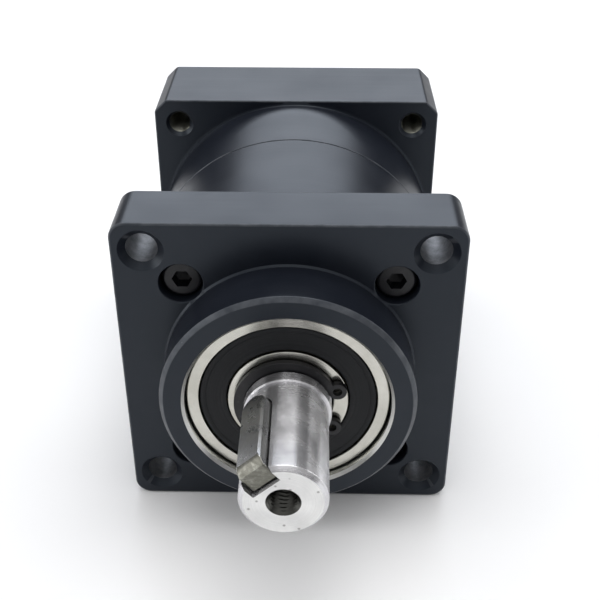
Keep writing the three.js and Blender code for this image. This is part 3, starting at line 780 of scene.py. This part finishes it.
# ---------------------------------------------------------------- bearings
def bearing(name, rotor, start, width, bore, inner, outer, od):
    """Both rings of a sealed ball bearing, with eased corners and a round groove for the balls."""
    end, middle = start + width, start + width / 2
    groove = [math.radians(a) for a in range(-60, 61, 20)]
    inside = turned([(bore + 0.3, start, 0.3), (inner, start, 0.22)]
                    + [(inner + 0.6 - 1.2 * math.cos(a), middle + 2.07 * math.sin(a)) for a in groove]
                    + [(inner, end, 0.22), (bore + 0.3, end, 0.3)])
    outside = turned([(outer, start, 0.22), (od, start, 0.4), (od, end, 0.4), (outer, end, 0.22)]
                     + [(outer - 0.6 + 1.2 * math.cos(a), middle - 2.07 * math.sin(a)) for a in groove])
    finished(inside, f"{name}_inner_ring", rotor, [BEARING])
    finished(outside, f"{name}_outer_ring", "housing", [BEARING])


def seal(node, inner, outer, start, out):
    """Moulded rubber seal: a raised outer bead, a dished web and a lip, facing one way or the other."""
    low, high = inner + 0.3, outer - 0.3
    front = [(low, 0.10), (low + 0.35, 0.0), (low + 0.75, 0.10), (low + 0.95, 0.22), (high - 1.0, 0.22),
             (high - 0.75, 0.05), (high - 0.35, 0.0), (high, 0.10)]
    profile = [(r, start + (d if out < 0 else 0.8 - d)) for r, d in front]
    back = start + (0.8 if out < 0 else 0.0)
    piece = turned([*profile, (high, back), (low, back)])
    finished(piece, node, "housing", [RUBBER])


# ---------------------------------------------------------------- input shaft
def input_shaft():
    """Hollow ground shaft with its keyway, a collar, and the sun gear on its nose."""
    core = turned([
        (0, 32.1), (5.6, 32.1), (5.6, 41), (14, 41), (14, 44.2), (12.5, 44.2), (12.5, 66.3, 0.1),
        (12.1, 66.7, 0.1), (0, 66.7),
    ])
    teeth = tooth_outline(18, SUN_FLANK, -0.12, PLANETS[0])
    sun = lofted([(teeth, 23.6), (teeth, 33.1)])
    bore = turned([(0, 43.5), (7, 43.5), (7, 66.25), (8.0, 67.25), (0, 67.25)], facets=96)
    keyway = lofted([([(-10.1, -2.5), (0, -2.5), (0, 2.5), (-10.1, 2.5)], s) for s in (45, 68)])
    piece = combined(core, [sun], [bore, keyway])

    def choose(at, normal):
        radius = math.hypot(at.x, at.z)
        if at.y > 66.6 and normal.y > 0.9:
            return 1
        # The bore takes the recess material, darkened as painted shade.
        if radius < 10.2 and 43 < at.y < 66.6:
            return 3
        return 2 if at.y < 44 else 0

    finished(piece, "input_shaft", "input_rotor", [GROUND, FACED, GEAR, SHADED_RECESS], choose)


output_housing()
ring_gear_body()
input_housing()
label()
for number, (x, z) in enumerate(four(SCREW_OFFSET), 1):
    case_screw(f"front_case_screw_{number}", x, z, 1.5, 1, 16)
    case_screw(f"rear_case_screw_{number}", x, z, 68.4, -1, 35)
output_shaft()
output_key()
circlip()
bearing("front_bearing", "output_rotor", -8.4, 11, 7.5, 10.4, 15.45, 17.5)
bearing("input_bearing", "input_rotor", 44.5, 9, 12.5, 14.6, 17.6, 19.8)
seal("front_bearing_front_seal", 10.4, 15.45, -8.15, -1)
seal("input_bearing_rear_seal", 14.6, 17.6, 52.45, 1)
input_shaft()

# ---------------------------------------------------------------- pieces inside the case
INSIDE = {
    "o_ring": RUBBER, "seal": RUBBER, "bearing_inner_ring": BEARING, "bearing_outer_ring": BEARING,
    "spacer": GROUND, "carrier_plate": GEAR, "carrier_screw": SCREW, "planet_gear": GEAR,
    "planet_pin": GROUND, "planet_bush": BRONZE, "balls": NYLON,
}
for name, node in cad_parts.items():
    if node.hide_render:
        continue
    material = next(m for part, m in INSIDE.items() if part in name)
    node.data.materials.clear()
    node.data.materials.append(material)

# ---------------------------------------------------------------- floor, light and camera
def pale_floor():
    m = Surface("pale_floor", 0.0, specular=0.2)
    m.bump(m.noise(m.place, 0.4, 3.0), 0.02, 0.3)
    tone = m.mix(m.noise(m.place, 0.01, 2.0), rgb(0.88, 0.88, 0.885), rgb(0.92, 0.92, 0.92))
    material = m.finish(tone, m.ramp(m.noise(m.place, 0.3), 0.3, 0.7, 0.55, 0.7))
    half = 0.7
    corners = [(-half, -half, 0), (half, -half, 0), (half, half, 0), (-half, half, 0)]
    mesh = bpy.data.meshes.new("floor")
    mesh.from_pydata(corners, [], [(0, 1, 2, 3)])
    mesh.materials.append(material)
    floor = bpy.data.objects.new("floor", mesh)
    floor.location.z = cad_box[0].z - 0.0001
    bpy.context.scene.collection.objects.link(floor)


def softbox(name, place, aim, size, power, colour=(1, 1, 1)):
    lamp = bpy.data.lights.new(name, "AREA")
    lamp.color = colour
    lamp.shape = "RECTANGLE"
    lamp.size, lamp.size_y = size
    lamp.energy = power
    holder = bpy.data.objects.new(name, lamp)
    holder.location = place
    holder.rotation_euler = (Vector(aim) - Vector(place)).to_track_quat("-Z", "Y").to_euler()
    bpy.context.scene.collection.objects.link(holder)


def studio():
    """White surroundings: bright above, dimmer between the horizon and the softboxes."""
    world = bpy.data.worlds.new("studio")
    world.use_nodes = True
    tree = world.node_tree
    background = tree.nodes["Background"]
    direction = tree.nodes.new("ShaderNodeTexCoord")
    split = tree.nodes.new("ShaderNodeSeparateXYZ")
    bands = tree.nodes.new("ShaderNodeValToRGB")
    rays = tree.nodes.new("ShaderNodeLightPath")
    shown = tree.nodes.new("ShaderNodeMix")
    shown.data_type = "RGBA"
    stops = [(0.0, 0.70), (0.04, 0.06), (0.26, 0.06), (0.36, 0.42), (0.70, 0.60), (1.0, 0.95)]
    ramp = bands.color_ramp
    ramp.elements[0].position, ramp.elements[1].position = stops[0][0], stops[-1][0]
    for place, level in stops[1:-1]:
        ramp.elements.new(place)
    for element, (place, level) in zip(ramp.elements, stops):
        element.color = rgb(level, level, level * 1.01)
    shown.inputs[7].default_value = rgb(0.97, 0.97, 0.97)
    link = tree.links.new
    link(direction.outputs["Generated"], split.inputs[0])
    link(split.outputs["Z"], bands.inputs[0])
    link(rays.outputs["Is Camera Ray"], shown.inputs[0])
    link(bands.outputs[0], shown.inputs[6])
    link(shown.outputs[2], background.inputs["Color"])
    background.inputs["Strength"].default_value = 1.0
    bpy.context.scene.world = world


pale_floor()
studio()
centre = (cad_box[0] + cad_box[1]) / 2
softbox("top", (0.05, 0.02, 0.75), centre, (0.5, 0.6), 2.4)
softbox("behind", (0.0, 0.85, 0.55), centre, (0.8, 0.45), 3.2, (0.84, 0.90, 1.0))
softbox("left", (-0.8, -0.15, 0.35), centre, (0.3, 0.6), 2.2)
softbox("right", (0.8, 0.1, 0.30), centre, (0.3, 0.6), 1.6)

camera = bpy.data.cameras.new("camera")
camera.sensor_width = 36
camera.lens = 59.0
camera.shift_y = -0.055
camera.clip_start = 0.01
viewer = bpy.data.objects.new("camera", camera)
viewer.location = (0.0046, cad_box[0].y - 0.1082, 0.1382)
viewer.rotation_euler = (math.radians(58.5), 0.0, math.radians(1.1))
bpy.context.scene.collection.objects.link(viewer)
bpy.context.scene.camera = viewer
bpy.context.scene.view_settings.view_transform = "Standard"
